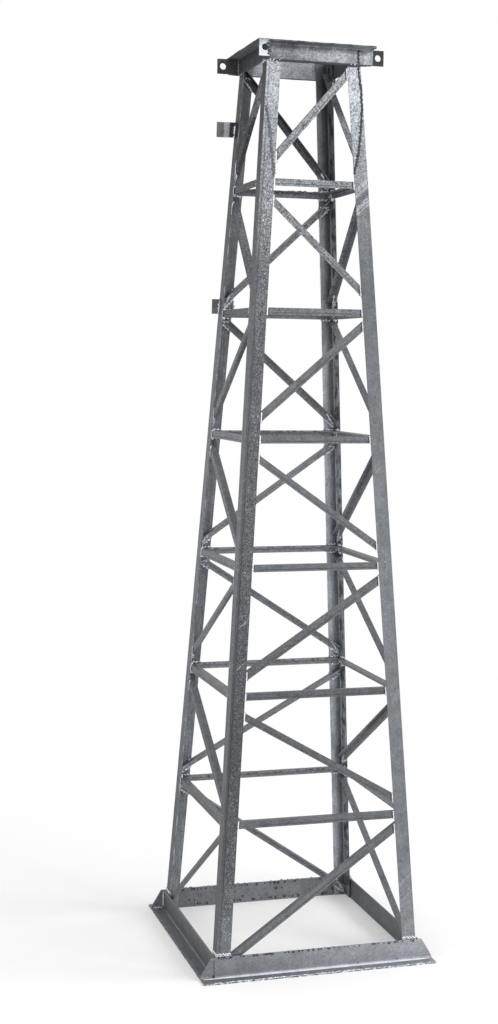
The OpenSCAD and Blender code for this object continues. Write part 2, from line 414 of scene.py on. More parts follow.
GROUPS = {make.__name__: make() for make in
          (group_spangle, group_pebbles, group_runs, group_specks, group_rubs, group_scuffs,
           group_heel)}


def use(tree, name, vector, **values):
    """A node of one of the shared groups, and its outputs."""
    node = add(tree, "ShaderNodeGroup", node_tree=GROUPS["group_" + name])
    tree.links.new(vector, node.inputs["Vector"])
    for label, value in values.items():
        node.inputs[label].default_value = value
    return node.outputs


def new_material(name):
    """An empty material with a Principled shader, and the object's coordinates."""
    material = bpy.data.materials.new(name)
    material.use_nodes = True
    tree = material.node_tree
    tree.nodes.clear()
    shader = tree.nodes.new("ShaderNodeBsdfPrincipled")
    sink = tree.nodes.new("ShaderNodeOutputMaterial")
    tree.links.new(shader.outputs[0], sink.inputs[0])
    place = tree.nodes.new("ShaderNodeTexCoord").outputs["Object"]
    return material, tree, shader, place


def ladder(tree, height, stops):
    """A tone by height: straight lines between the stops, each a height in metres and a tone.
    A plain number is one tone at all heights."""
    if not isinstance(stops, (list, tuple)):
        stops = [(0.0, stops)]
    node = add(tree, "ShaderNodeValToRGB", {0: maths(tree, "DIVIDE", height, TOWER_H)})
    steps = node.color_ramp.elements
    while len(steps) < len(stops):
        steps.new(0.5)
    while len(steps) > len(stops):
        steps.remove(steps[-1])
    for step, (z, tone) in zip(steps, stops):
        step.position = z / TOWER_H
        step.color = (tone, tone, tone, 1.0)
    return add(tree, "ShaderNodeSeparateColor", {0: node.outputs[0]}).outputs[0]


def scaled(tree, tone, pattern, strength):
    """tone times one plus strength times how far the pattern is over its middle."""
    off = maths(tree, "SUBTRACT", pattern, 0.5)
    return maths(tree, "MULTIPLY", tone, maths(tree, "MULTIPLY_ADD", off, strength, 1.0))


def mixed(tree, share, first, second):
    """A value that goes from first to second as share goes from 0 to 1."""
    inputs = {0: share, 2: first, 3: second}
    return add(tree, "ShaderNodeMix", inputs, data_type="FLOAT").outputs[0]


def marked(tree, tone, mask, gain):
    """tone times one plus gain where the mask is full, and tone itself where it is empty."""
    return maths(tree, "MULTIPLY", tone, maths(tree, "MULTIPLY_ADD", mask, gain, 1.0))


def tone_by_side(tree, part, across_y, across_x, inward, behind, upward, side):
    """The tone before any pattern: a ladder for each way in which a face can be turned, which
    paints light and shade on the faces by how they are turned.
    """
    height = part[2]
    facing = tree.nodes.new("ShaderNodeNewGeometry").outputs["True Normal"]
    facing = add(tree, "ShaderNodeSeparateXYZ", {0: facing}).outputs
    tone = ladder(tree, height, across_y)
    if behind is not None:
        far = ramp(tree, part[1], -0.02, 0.02)
        tone = mixed(tree, far, tone, ladder(tree, height, behind))
    if across_x is not None:
        aside = ramp(tree, maths(tree, "ABSOLUTE", facing[0]), *side)
        across = ladder(tree, height, across_x)
        if inward is not None:
            within = ramp(tree, maths(tree, "MULTIPLY", facing[0], part[0]), -0.005, -0.03)
            across = mixed(tree, within, across, ladder(tree, height, inward))
        tone = mixed(tree, aside, tone, across)
    if upward is not None:
        level = ramp(tree, facing[2], 0.6, 0.9)
        tone = mixed(tree, level, tone, ladder(tree, height, upward))
    return tone


# Ridges in a leg's thick zinc: where they begin and end across the flange, as distances from
# the heel, the height over which they fade, their size, and the gain in tone between and on them
RIDGES_BEGIN = (0.008, 0.014)
RIDGES_END = (0.042, 0.034)
RIDGES_FADE = 0.2
RIDGE_SIZE = 0.0048
BETWEEN_RIDGES = -0.3
ON_RIDGES = 2.7
# How high ridges and dross stand in the bumps, against the cloud
RELIEF = 0.8


def ridged(tree, place, tone, relief, low, high):
    """Lays ridges over a leg's flange between the heights low and high, in tone and relief."""
    height = add(tree, "ShaderNodeSeparateXYZ", {0: place}).outputs[2]
    heel = use(tree, "heel", place)["Across X"]
    where = maths(tree, "MULTIPLY", ramp(tree, heel, *RIDGES_BEGIN),
                  ramp(tree, heel, *RIDGES_END))
    where = maths(tree, "MULTIPLY", where, ramp(tree, height, low - RIDGES_FADE, low))
    where = maths(tree, "MULTIPLY", where, ramp(tree, height, high, high - RIDGES_FADE))
    ridge = use(tree, "pebbles", place, Size=RIDGE_SIZE)["Pebbles"]
    ridge = maths(tree, "MULTIPLY", where, ridge)
    tone = marked(tree, tone, where, BETWEEN_RIDGES)
    tone = marked(tree, tone, ridge, ON_RIDGES)
    return tone, maths(tree, "MULTIPLY_ADD", ridge, RELIEF, relief)


# How far a line along a leg sways, and from where to where beside it the tone comes back
LINE_SWAY = 0.003
LINE_EDGE = (0.0006, 0.0022)


def lined(tree, place, tone, cloud, lines):
    """Draws lines along a leg, which sway with the cloud; the back legs' lines are painted
    highlights and painted shade.
    """
    for distance, factor in lines:
        heel = use(tree, "heel", place)["Across X"]
        sway = maths(tree, "MULTIPLY_ADD", cloud, LINE_SWAY, heel)
        off = maths(tree, "ABSOLUTE", maths(tree, "SUBTRACT", sway, distance))
        tone = maths(tree, "MULTIPLY", tone, ramp(tree, off, *LINE_EDGE, factor, 1.0))
    return tone


ZINC_TINT = (0.95, 1.0, 1.085)
# Gain in tone on a grain of dross, how far roughness goes up and down with the spangle, and the
# depth of the bumps
ON_DROSS = -0.5
ROUGH_SPREAD = 0.08
BUMP_DEPTH = 0.0003


def zinc(name, across_y, across_x=None, inward=None, behind=None, upward=None, cell=0.005,
         patch=0.03, cloud=0.25, grain=0.25, coarse=None, runs=0.12, rubs=0.8, pebbles=None,
         lines=(), shade=None, aslant=None, scuffs=(), side=(0.4, 0.8), rough=0.5, metal=0.4):
    """Galvanised steel. Its tone comes by height from ladders of stops: across_y for faces turned
    to the front or back, across_x for those turned to a side or inward for those of them that
    look into the tower, behind for the far side of the tower, upward for level ones. Besides the
    zinc's own tone, the ladders hold painted light and shade: a face is lighter or darker by how
    it is turned and by its height. A face counts as turned to a side as the X of its normal goes
    through the range side. Clouds, grain, runs, dross and rub marks are laid over the tone.
    coarse = (from, to, strength) makes the grain stronger with height; pebbles = (low, high) lays
    ridges between two heights. Each of lines is the distance from a leg's heel of a line along it
    and the line's factor; on the back legs these are painted highlights and painted shade.
    shade = (near, far, first, last) carries the tone from one factor to another between two such
    distances, as painted shade and a painted shadow. aslant = (left, right, first, last) does so
    between two values of X, as painted light. Each of scuffs is a scratched patch: its middle,
    reach, gain in tone and sparseness."""
    material, tree, shader, place = new_material(name)
    part = add(tree, "ShaderNodeSeparateXYZ", {0: place}).outputs
    tone = tone_by_side(tree, part, across_y, across_x, inward, behind, upward, side)
    skin = use(tree, "spangle", place, Cell=cell, Patch=patch)
    tone = scaled(tree, tone, skin["Cloud"], cloud)
    if coarse is not None:
        low, high, most = coarse
        grain = ramp(tree, part[2], low, high, grain, most)
    tone = scaled(tree, tone, skin["Spangle"], grain)
    tone = scaled(tree, tone, use(tree, "runs", place)["Runs"], runs)
    relief = maths(tree, "MULTIPLY_ADD", skin["Grain"], 0.5, skin["Cloud"])
    if pebbles is not None:
        tone, relief = ridged(tree, place, tone, relief, *pebbles)
    tone = lined(tree, place, tone, skin["Cloud"], lines)
    if shade is not None:
        heel = use(tree, "heel", place)["Across X"]
        tone = maths(tree, "MULTIPLY", tone, ramp(tree, heel, *shade))
    if aslant is not None:
        tone = maths(tree, "MULTIPLY", tone, ramp(tree, part[0], *aslant))
    dross = use(tree, "specks", place)["Specks"]
    tone = marked(tree, tone, dross, ON_DROSS)
    tone = marked(tree, tone, use(tree, "rubs", place)["Rubs"], rubs)
    for middle, reach, gain, sparse in scuffs:
        scratches = use(tree, "scuffs", place, Middle=middle, Reach=reach, Sparse=sparse)
        tone = marked(tree, tone, scratches["Scuffs"], gain)
    tint = add(tree, "ShaderNodeVectorMath", {0: ZINC_TINT, 1: tone}, operation="MULTIPLY")
    tree.links.new(tint.outputs[0], shader.inputs["Base Color"])
    roughness = ramp(tree, skin["Spangle"], 0.2, 0.8, rough + ROUGH_SPREAD, rough - ROUGH_SPREAD)
    tree.links.new(roughness, shader.inputs["Roughness"])
    shader.inputs["Metallic"].default_value = metal
    relief = maths(tree, "MULTIPLY_ADD", dross, RELIEF, relief)
    normal = add(tree, "ShaderNodeBump",
                 {"Strength": 0.5, "Distance": BUMP_DEPTH, "Height": relief})
    tree.links.new(normal.outputs[0], shader.inputs["Normal"])
    return material


# ------------------------------------------------------------------ welds and zinc

WEB_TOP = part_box("base_left")[1][2]
BASE_IN = FOOT_HALF + SEAT
BASE_OUT = BASE_IN + BASE_WALL
BASE_REACH = -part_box("base_front")[0][1]
HEAD_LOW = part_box("head_front")[0][2]
HEAD_IN = half_at(HEAD_LOW) + SEAT
HEAD_OUT = HEAD_IN + HEAD_WALL
HEAD_REACH = -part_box("head_front")[0][1]

# Weld beads, each as half the width and the height of the crown
SEAM = (0.0026, 0.0022)
FLANGE_SEAM = (0.003, 0.003)
FOOT_BEAD = (0.0016, 0.0016)
HEAD_BEAD = (0.0024, 0.0022)
STRAP_BEAD = (0.003, 0.0026)
INNER_BEAD = (0.0028, 0.0036)
TIP_BEAD = (0.0026, 0.003)
# How far off a leg's flange the beads inside it lie
INNER_LIFT = 0.0026
# The bead along a leg's free edge: its depth under the leg's outside, how far in from the edge
# it lies, and the height of its crown
TOE_DEPTH = 0.0022
TOE_INSET = 0.0014
TOE_CROWN = 0.0024


def across_face(u, v, w):
    """A direction on the front face, out of face measures."""
    return from_face(FRONT, u, v, w) - from_face(FRONT, 0.0, 0.0, 0.0)


def turned(face, direction):
    """A direction on the front, turned to that face."""
    return turn_face(face, *direction)


def lattice_welds(beads, node):
    """Beads at both ends of a bar on each face: outside along the leg's free edge over the height
    of the web, weaving on the front, and inside all round the part of it that lies on the leg."""
    for face in (FRONT, RIGHT, BACK, LEFT):
        toe, sway = (0.0022, 0.0013) if face == FRONT else (0.0014, 0.0)
        web = Web(node, face)
        for side in (-1, 1):
            tip, out = web.end(side)
            low, high = (e[0] for e in web.edges(out))
            heights = np.linspace(low - 0.001, high + 0.001, 9 if face == FRONT else 2)
            inset = TOE_INSET + sway * np.cos(pi * np.arange(len(heights)))
            beads.line(from_face(face, side * (edge_at(heights) - inset), TOE_DEPTH, heights),
                       turned(face, across_face(-side, -1.0, 0.0)),
                       toe if side < 0 else toe * 0.7, TOE_CROWN, 0.14)
            inner = np.array([out + side * 0.001, tip])
            edges = web.edges(inner)
            for edge, way in zip(edges, (-1, 1)):
                line = from_face(face, inner, LEG_WALL + INNER_LIFT, edge + way * 0.0015)
                beads.add(line[0], line[1], turned(face, across_face(0.0, 1.0, way)),
                          *INNER_BEAD, 0.5)
            shut = from_face(face, tip + side * 0.001, LEG_WALL + INNER_LIFT,
                             np.array([edges[0][1], edges[1][1]]))
            beads.add(shut[0], shut[1], turned(face, across_face(side, 1.0, 0.0)),
                      *TIP_BEAD, 0.5)


def foot_welds(beads):
    """Across each leg's flanges where they come up out of the base frame: two thin lines that
    weave up and down against each other."""
    heel = half_at(WEB_TOP)
    share = np.linspace(0.0, 1.0, 10)
    for face in (FRONT, RIGHT, BACK, LEFT):
        for side in (-1, 1):
            for rise, sway in ((0.0015, -0.0016), (0.0052, 0.002)):
                line = turn_face(face, side * (heel - LEG_FLANGE * share), -heel - 0.0008,
                                 WEB_TOP + rise + sway * np.cos(9 * pi * share))
                beads.line(line, turned(face, (0.0, -0.8, 1.0)), *FOOT_BEAD)


def base_welds(beads):
    """At the base's corners: upright where a short bar's web meets a long bar's, and out along
    the seam of their flanges."""
    for face in (FRONT, BACK):
        for side in (-1, 1):
            beads.add(turned(face, (side * BASE_OUT, -BASE_IN, BASE_WALL)),
                      turned(face, (side * BASE_OUT, -BASE_IN, WEB_TOP - 0.004)),
                      turned(face, (side, 1.0, 0.0)), *SEAM, 0.3)
            beads.add(turned(face, (side * (BASE_OUT + 0.003), -BASE_IN, BASE_WALL)),
                      turned(face, (side * (BASE_REACH - 0.003), -BASE_IN, BASE_WALL)),
                      turned(face, (0.0, 1.0, 1.0)), *FLANGE_SEAM, 0.5)


def head_welds(beads):
    """Under each head bar's web across the legs, and upright where two head bars meet."""
    heel = half_at(HEAD_LOW)
    for face in (FRONT, RIGHT, BACK, LEFT):
        for side in (-1, 1):
            beads.add(turned(face, (side * heel, -heel - 0.001, HEAD_LOW - 0.001)),
                      turned(face, (side * (heel - LEG_FLANGE), -heel - 0.001, HEAD_LOW - 0.001)),
                      turned(face, (0.0, -1.0, -1.0)), *HEAD_BEAD, 0.5)
        shelf = EAR_WALL + SEAT if face in (RIGHT, LEFT) else 0.0
        beads.add(turned(face, (shelf - HEAD_IN, -HEAD_OUT, HEAD_LOW + 0.001)),
                  turned(face, (shelf - HEAD_IN, -HEAD_OUT, TOWER_H - HEAD_WALL)),
                  turned(face, (1.0, -1.0, 0.0)), *SEAM, 0.4)


def strap_welds(beads, node):
    """Round the part of a strap that lies on the back left leg, and up the leg's heel."""
    low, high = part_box(node)
    heel = half_at((low[2] + high[2]) / 2)
    start = -high[0]
    for z, way in ((low[2], -1), (high[2], 1)):
        w = z / cos(LEAN)
        beads.add(from_face(BACK, start, -0.001, w), from_face(BACK, heel, -0.001, w),
                  turned(BACK, across_face(0.0, -1.0, way)), *STRAP_BEAD, 0.4)
    beads.add(from_face(BACK, start, -0.001, low[2]), from_face(BACK, start, -0.001, high[2]),
              turned(BACK, across_face(-1.0, -1.0, 0.0)), *STRAP_BEAD, 0.4)
    beads.add(from_face(BACK, half_at(low[2]), 0.001, low[2] + 0.001),
              from_face(BACK, half_at(high[2]), 0.001, high[2] - 0.001),
              turned(BACK, across_face(1.0, 1.0, 0.0)), *STRAP_BEAD, 0.4)


def make_welds(material):
    """All weld beads, a piece for each ring and bay and one for each end of the tower."""
    for seed, node in enumerate(RINGS + BAYS):
        beads = Beads(seed)
        lattice_welds(beads, node)
        beads.make("welds_" + node, material, "weld_zinc")
    for seed, (name, place) in enumerate((("feet", foot_welds), ("base", base_welds),
                                          ("head", head_welds)), start=20):
        beads = Beads(seed, steps=31)
        place(beads)
        beads.make("welds_" + name, material, "weld_zinc")
    beads = Beads(30)
    for node in STRAPS:
        strap_welds(beads, node)
    beads.make("welds_straps", material, "weld_zinc")


def make_drops_and_highlight(material):
    """Zinc that set in drops along the edges from which it ran, the outer edges of the long flanges
    of the base, white as painted glints on them; and a smooth white line in the corner between
    their webs and flanges, a painted highlight."""
    beads = Beads(40, steps=9, sides=6)
    for face in (FRONT, BACK):
        for z, count in ((BASE_WALL - 0.0005, 70), (0.0015, 60)):
            beads.along(turned(face, (-BASE_REACH, -BASE_REACH, z)),
                        turned(face, (BASE_REACH, -BASE_REACH, z)),
                        turned(face, (0.0, -1.0, 0.6)), count, 0.013, 0.0012)
    beads.make("zinc_drops_base", material, "weld_zinc")
    # A painted highlight: a white line in the corner between each long base bar's web and flange.
    smooth = Beads(41, steps=41)
    for face in (FRONT, BACK):
        smooth.add(turned(face, (-BASE_REACH + 0.004, -BASE_OUT - 0.006, BASE_WALL)),
                   turned(face, (BASE_REACH - 0.004, -BASE_OUT - 0.006, BASE_WALL)),
                   turned(face, (0.0, -0.3, 1.0)), 0.006, 0.0016, 0.04)
    smooth.make("highlight_fillet_base", material, "weld_zinc")


def make_bar_lines(dull, pale):
    """Lines painted along the lattice bars: a dull one low on the outside of the web, and inside a
    dull one under the flange with a pale one below it. The dull ones are painted shade and the
    pale one a painted highlight."""
    dark, light = Beads(60, steps=5, sides=6), Beads(61, steps=5, sides=6)
    for node in RINGS + BAYS:
        for face in (FRONT, RIGHT, BACK, LEFT):
            web = Web(node, face)
            ends = np.array([web.end(-1)[1], web.end(1)[1]])
            inner = ends.mean() + (ends - ends.mean()) * 0.5
            low, high = web.edges(inner)
            # Dull lines of painted shade and a pale line of painted highlight.
            for beads, share, v, way, wide in (
                    (dark, 0.32, LAP_PLANE, -1, 0.0011),
                    (dark, 0.8, LAP_PLANE + BAR_WALL, 1, 0.0011),
                    (light, 0.52, LAP_PLANE + BAR_WALL, 1, 0.0009)):
                middle = low + share * (high - low)
                w = middle.mean() + (middle - middle.mean()) * 2
                line = from_face(face, ends, v, w)
                beads.add(line[0], line[1], turned(face, across_face(0.0, way, 0.0)),
                          wide, 0.0003, 0.06)
    dark.make("bar_shade_lines", dull, "weld_zinc")
    light.make("bar_highlight_lines", pale, "weld_zinc")


# Lines of dross along a long base bar, as placed on the front: y, z, the way in which the grains
# stand out, their count and their size
BASE_DROSS = [(-BASE_OUT, WEB_TOP - 0.002, -1.0, 64, 0.003),
              (-BASE_IN, WEB_TOP - 0.005, 1.0, 30, 0.0042),
              (-BASE_IN, 0.020, 1.0, 9, 0.0045),
              (-BASE_IN, 0.035, 1.0, 7, 0.0045),
              (-BASE_IN, 0.008, 1.0, 36, 0.0045)]


def base_dross(grains):
    """On the webs of the long base bars: outside along the top, and inside at four heights."""
    for face in (FRONT, BACK):
        for y, z, way, count, size in BASE_DROSS:
            grains.along(turned(face, (-BASE_IN, y, z)), turned(face, (BASE_IN, y, z)),
                         turned(face, (0.0, way, 0.0)), count, 0.009, size, crown=0.18)


def side_dross(grains):
    """On each side: along the rim and the top of the base's flange, across the legs' welds over
    the base, and along both edges of the head frame's flange."""
    heel = half_at(WEB_TOP)
    for face in (FRONT, RIGHT, BACK, LEFT):
        grains.along(turned(face, (-BASE_REACH, -BASE_REACH, BASE_WALL / 2)),
                     turned(face, (BASE_REACH, -BASE_REACH, BASE_WALL / 2)),
                     turned(face, (0.0, -1.0, 0.0)), 46, 0.009, 0.0016)
        grains.along(turned(face, (-BASE_IN, -BASE_OUT - 0.012, BASE_WALL)),
                     turned(face, (BASE_IN, -BASE_REACH + 0.008, BASE_WALL)),
                     (0.0, 0.0, 1.0), 5, 0.007, 0.003, crown=0.2)
        for side in (-1, 1):
            z = WEB_TOP + 0.0035
            grains.along(turned(face, (side * heel, -heel - 0.0008, z)),
                         turned(face, (side * (heel - LEG_FLANGE), -heel - 0.0008, z)),
                         turned(face, (0.0, -1.0, 0.6)), 9, 0.006, 0.0022, crown=0.5)
        for z in (TOWER_H - 0.0005, TOWER_H - HEAD_WALL):
            grains.along(turned(face, (-HEAD_REACH, -HEAD_REACH, z)),
                         turned(face, (HEAD_REACH, -HEAD_REACH, z)),
                         turned(face, (0.0, -1.0, 0.2)), 26, 0.03, 0.0013, 0.2)


def weld_dark_lines(grains):
    """A thin dark wavy line beside each weld on the front."""
    for node in RINGS + BAYS:
        web = Web(node, FRONT)
        for side in (-1, 1):
            low, high = (e[0] for e in web.edges(web.end(side)[1]))
            heights = np.linspace(low + 0.001, high - 0.001, 5)
            inset = 0.005 + 0.0007 * np.cos(pi * np.arange(5))
            grains.line(from_face(FRONT, side * (edge_at(heights) - inset), LAP_PLANE, heights),
                        turned(FRONT, across_face(0.0, -1.0, 0.0)), 0.0009, 0.0005, 0.5)


def ring_dross(grains):
    """Along the flange's inner edge on the back bar of each ring."""
    for node in RINGS:
        web = Web(node, BACK)
        ends = np.array([web.end(-1)[1], web.end(1)[1]])
        line = from_face(BACK, ends, LAP_PLANE + BAR_FLANGE, web.edges(ends)[1])
        grains.along(line[0], line[1], turned(BACK, (0.0, 1.0, 0.6)), 18, 0.016, 0.0016)


def head_edges(edges):
    """The ragged edges of each head bar: under its web, and both edges of its flange."""
    for face, deep, rim in ((FRONT, 0.0052, 0.0006), (RIGHT, 0.002, 0.0013),
                            (BACK, 0.002, 0.0013), (LEFT, 0.002, 0.0013)):
        y = -(HEAD_IN + HEAD_OUT) / 2
        edges.add(turned(face, (-HEAD_IN, y, HEAD_LOW)), turned(face, (HEAD_REACH, y, HEAD_LOW)),
                  turned(face, (0.0, 0.0, -1.0)), 0.0021, deep, 0.08)
        y = -HEAD_REACH
        for z in (TOWER_H - 0.0004, TOWER_H - HEAD_WALL):
            edges.add(turned(face, (-HEAD_REACH, y, z)), turned(face, (HEAD_REACH, y, z)),
                      turned(face, (0.0, -1.0, 0.0)), rim, 0.001, 0.3)


def corner_edges(edges):
    """A painted shadow down the right of the front left ear, and a dark line down the base's front
    left corner to its foot.
    """
    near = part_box("ear_front_left")
    edges.add((near[1][0] - 0.001, near[0][1], near[0][2] + 0.003),
              (near[1][0] - 0.002, near[0][1], near[1][2] - 0.003),
              (0.3, -1.0, 0.0), 0.004, 0.0012, 0.5)
    edges.add((-BASE_OUT, -BASE_OUT, WEB_TOP - 0.004), (-BASE_OUT, -BASE_OUT, BASE_WALL + 0.006),
              (0.0, -1.0, 0.0), 0.0009, 0.0005, 0.5)
    edges.add((-BASE_OUT, -BASE_OUT, 0.0125), (-BASE_OUT - 0.002, -BASE_OUT - 0.004, 0.006),
              (0.0, -1.0, 0.5), 0.003, 0.0016, 0.3)


def make_ash(material):
    """Ash and dross that stuck to the zinc, as dark grains and dark ragged edges, with a dark wavy
    line beside each weld on the front, a dark line down the base's front left corner and a painted
    shadow beside the front left ear.
    """
    grains = Beads(50, steps=7, sides=6)
    for place in (base_dross, side_dross, weld_dark_lines, ring_dross):
        place(grains)
    grains.make("dross_grains", material, "weld_zinc")
    edges = Beads(51, steps=41)
    for place in (head_edges, corner_edges):
        place(edges)
    edges.make("dross_and_shadow_edges", material, "weld_zinc")


# Dark lines down the front legs at the edge of a painted reflection: depth under the tower's top,
# and distance from the heel
REFLECTION_EDGE_RIGHT = [(0.046, 0.008), (0.085, 0.005), (0.117, 0.003), (0.165, 0.0045), (0.214, 0.011),
             (0.267, 0.0195), (0.295, 0.027), (0.320, 0.034), (0.332, 0.038)]
REFLECTION_EDGE_LEFT = [(0.165, 0.004), (0.18, 0.008), (0.215, 0.017), (0.25, 0.0225), (0.29, 0.028),
            (0.32, 0.034), (0.345, 0.037)]


def make_reflection_edges(dark, dull):
    """Dark lines down the front legs from the head, painted at the edge of a reflection: a dark
    one right of centre, which starts on the head bar's web, and a fainter one on the left leg."""
    for seed, name, side, course, wide, material in (
            (52, "reflection_edge_right", 1, REFLECTION_EDGE_RIGHT, 0.0034, dark),
            (53, "reflection_edge_left", -1, REFLECTION_EDGE_LEFT, 0.0042, dull)):
        run = Beads(seed)
        depth, heel = np.array(course).T
        z = TOWER_H - depth
        line = from_face(FRONT, side * (half_at(z) - heel), 0.0, z / cos(LEAN))
        run.line(line, (0.0, -1.0, 0.0), wide, 0.0009, 0.35)
        if side > 0:
            x = half_at(HEAD_LOW) - 0.0075
            run.line([(x, -HEAD_OUT, TOWER_H - HEAD_WALL), (x - 0.001, -HEAD_OUT, TOWER_H - 0.022),
                      (x + 0.0005, -HEAD_OUT, HEAD_LOW - 0.001)], (0.0, -1.0, 0.0), wide, 0.001)
        run.make(name, material, "weld_zinc")


# ------------------------------------------------------------------ room

# Floor: half its width, its tone, its own glow, and the distances over which it turns white
FLOOR_HALF = 40.0
FLOOR_TONE = 0.8
FLOOR_GLOW = 0.2
FLOOR_FADE = (0.9, 3.0)


def make_floor():
    """A pale floor that fades to white with distance, so that it has no edge in the view."""
    half = FLOOR_HALF
    mesh = bpy.data.meshes.new("floor")
    mesh.from_pydata([(-half, -half, 0), (half, -half, 0), (half, half, 0), (-half, half, 0)],
                     [], [(0, 1, 2, 3)])
    floor = bpy.data.objects.new("floor", mesh)
    bpy.context.scene.collection.objects.link(floor)
    material, tree, shader, place = new_material("floor_pale")
    shader.inputs["Base Color"].default_value = (FLOOR_TONE, FLOOR_TONE, FLOOR_TONE, 1)
    shader.inputs["Roughness"].default_value = 0.9
    shader.inputs["Specular IOR Level"].default_value = 0.1
    seen = add(tree, "ShaderNodeLightPath").outputs["Is Camera Ray"]
    glow = add(tree, "ShaderNodeEmission", {"Strength": FLOOR_GLOW})
    white = add(tree, "ShaderNodeEmission", {"Strength": 1.0})
    near = add(tree, "ShaderNodeAddShader", {0: shader.outputs[0], 1: glow.outputs[0]})
    reach = add(tree, "ShaderNodeVectorMath", {0: place}, operation="LENGTH").outputs["Value"]
    far = ramp(tree, reach, *FLOOR_FADE)
    looks = add(tree, "ShaderNodeMixShader", {0: far, 1: near.outputs[0], 2: white.outputs[0]})
    both = add(tree, "ShaderNodeMixShader",
               {0: seen, 1: shader.outputs[0], 2: looks.outputs[0]})
    sink = next(n for n in tree.nodes if n.bl_idname == "ShaderNodeOutputMaterial")
    tree.links.new(both.outputs[0], sink.inputs[0])
    mesh.materials.append(material)


# Strength of the light from all round
AMBIENT = 0.75


def make_world():
    """Soft grey light from all round, and plain white where the room itself is seen."""
    world = bpy.data.worlds.new("studio")
    bpy.context.scene.world = world
    world.use_nodes = True
    tree = world.node_tree
    tree.nodes.clear()
    path = add(tree, "ShaderNodeLightPath").outputs
    seen = maths(tree, "ADD", path["Is Camera Ray"], path["Is Glossy Ray"], clamp=True)
    seen = maths(tree, "ADD", seen, path["Is Transmission Ray"], clamp=True)
    strength = maths(tree, "MULTIPLY_ADD", seen, 1 - AMBIENT, AMBIENT)
    room = add(tree, "ShaderNodeBackground", {"Color": (1, 1, 1, 1), "Strength": strength})
    sink = tree.nodes.new("ShaderNodeOutputWorld")
    tree.links.new(room.outputs[0], sink.inputs[0])


# Soft lamps: place, width of the square, and power in watts
LAMPS = {
    "lamp_key": dict(place=(6.0, -7.0, 5.0), size=3.5, power=285),
    "lamp_side": dict(place=(7.0, -2.2, 5.0), size=3.6, power=240),
    "lamp_fill": dict(place=(-7.0, -3.0, 3.0), size=3.5, power=90),
}


def make_lamps():
    """Square soft lamps, each aimed at the middle of the tower."""
    for name, given in LAMPS.items():
        data = bpy.data.lights.new(name, "AREA")
        data.size = given["size"]
        data.energy = given["power"]
        lamp = bpy.data.objects.new(name, data)
        aim = Vector((0, 0, TOWER_H / 2)) - Vector(given["place"])
        lamp.matrix_world = (Matrix.Translation(given["place"])
                             @ aim.to_track_quat("-Z", "Y").to_matrix().to_4x4())
        bpy.context.scene.collection.objects.link(lamp)


# ------------------------------------------------------------------ the dressed tower

def dress(node, material):
    """Gives a CAD node its finish."""
    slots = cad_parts[node].data.materials
    slots.clear()
    slots.append(material)


# Scratched patches on the front legs: height less x at the middle, half the width, gain in tone
# and how sparse the scratches are
LEFT_SCUFFS = [(1.4, 0.02, 0.8, 0.57), (1.3, 0.02, 0.7, 0.57), (1.135, 0.015, 0.7, 0.57),
               (1.045, 0.03, 0.7, 0.57)]
RIGHT_SCUFFS = [(1.887, 0.018, 1.0, 0.42), (1.914, 0.013, -0.25, 0.35), (1.942, 0.02, 0.45, 0.42),
                (1.43, 0.04, 0.5, 0.57), (-0.058, 0.04, 0.35, 0.57)]


def finish_legs():
    """A finish for each leg. A stop is a height in metres and the tone there; the stops hold the
    zinc's own tone and painted light and shade by height and facing. The fronts of both front legs
    are brightest near the top, partly as painted light. Each back leg has a painted highlight line
    by its inner corner; the back right leg also has a painted shade line near its heel and darkens
    towards its heel as painted shade in its corner. The front left leg has a dark line along it."""
    legs = (
        zinc("zinc_leg_front_left",
             [(0, 0.22), (0.1, 0.16), (0.3, 0.09), (0.62, 0.072), (1.25, 0.095), (1.6, 0.095),
              (1.85, 0.125), (2.02, 0.2), (2.17, 0.26), (2.3, 0.38), (2.4, 0.42)],
             [(0, 0.09), (0.2, 0.088), (0.62, 0.127), (1.25, 0.15), (1.6, 0.11), (1.85, 0.07),
              (2.1, 0.037), (2.25, 0.008), (2.4, 0.006)],
             cell=0.0045, grain=0.7, coarse=(1.55, 2.05, 1.7), pebbles=(0.2, 2.2),
             lines=[(0.0085, 0.6)], scuffs=LEFT_SCUFFS),
        zinc("zinc_leg_front_right",
             [(0, 0.28), (0.3, 0.187), (0.95, 0.19), (1.25, 0.172), (1.82, 0.122), (2.02, 0.17),
              (2.17, 0.27), (2.3, 0.47), (2.4, 0.37)],
             [(0, 0.15), (1.2, 0.17), (2.0, 0.1), (2.4, 0.05)],
             cell=0.0045, grain=0.6, coarse=(1.8, 2.15, 1.8), scuffs=RIGHT_SCUFFS),
        zinc("zinc_leg_back_right",
             [(0, 0.32), (0.3, 0.4), (0.62, 0.35), (1.25, 0.37), (1.55, 0.34), (1.82, 0.23),
              (2.17, 0.125), (2.4, 0.085)],
             [(0, 0.3), (0.3, 0.36), (0.95, 0.42), (1.25, 0.44), (1.55, 0.4), (1.82, 0.4),
              (2.17, 0.2), (2.4, 0.09)],
             grain=0.5, runs=0.3, lines=[(0.006, 2.1), (0.0026, 0.5)],
             shade=(0.01, 0.031, 0.42, 1.25)),
        zinc("zinc_leg_back_left",
             [(0, 0.33), (0.3, 0.24), (0.62, 0.2), (0.95, 0.155), (1.3, 0.17), (1.55, 0.165),
              (1.85, 0.14), (2.0, 0.175), (2.3, 0.09), (2.4, 0.14)],
             [(0, 0.095), (0.25, 0.088), (0.62, 0.14), (1.25, 0.175), (1.55, 0.135), (1.8, 0.09),
              (1.95, 0.05), (2.1, 0.033), (2.25, 0.012), (2.4, 0.01)],
             cell=0.006, grain=0.6, runs=0.4, lines=[(0.0052, 2.6)]),
    )
    for node, finish in zip(LEGS, legs):
        dress(node, finish)


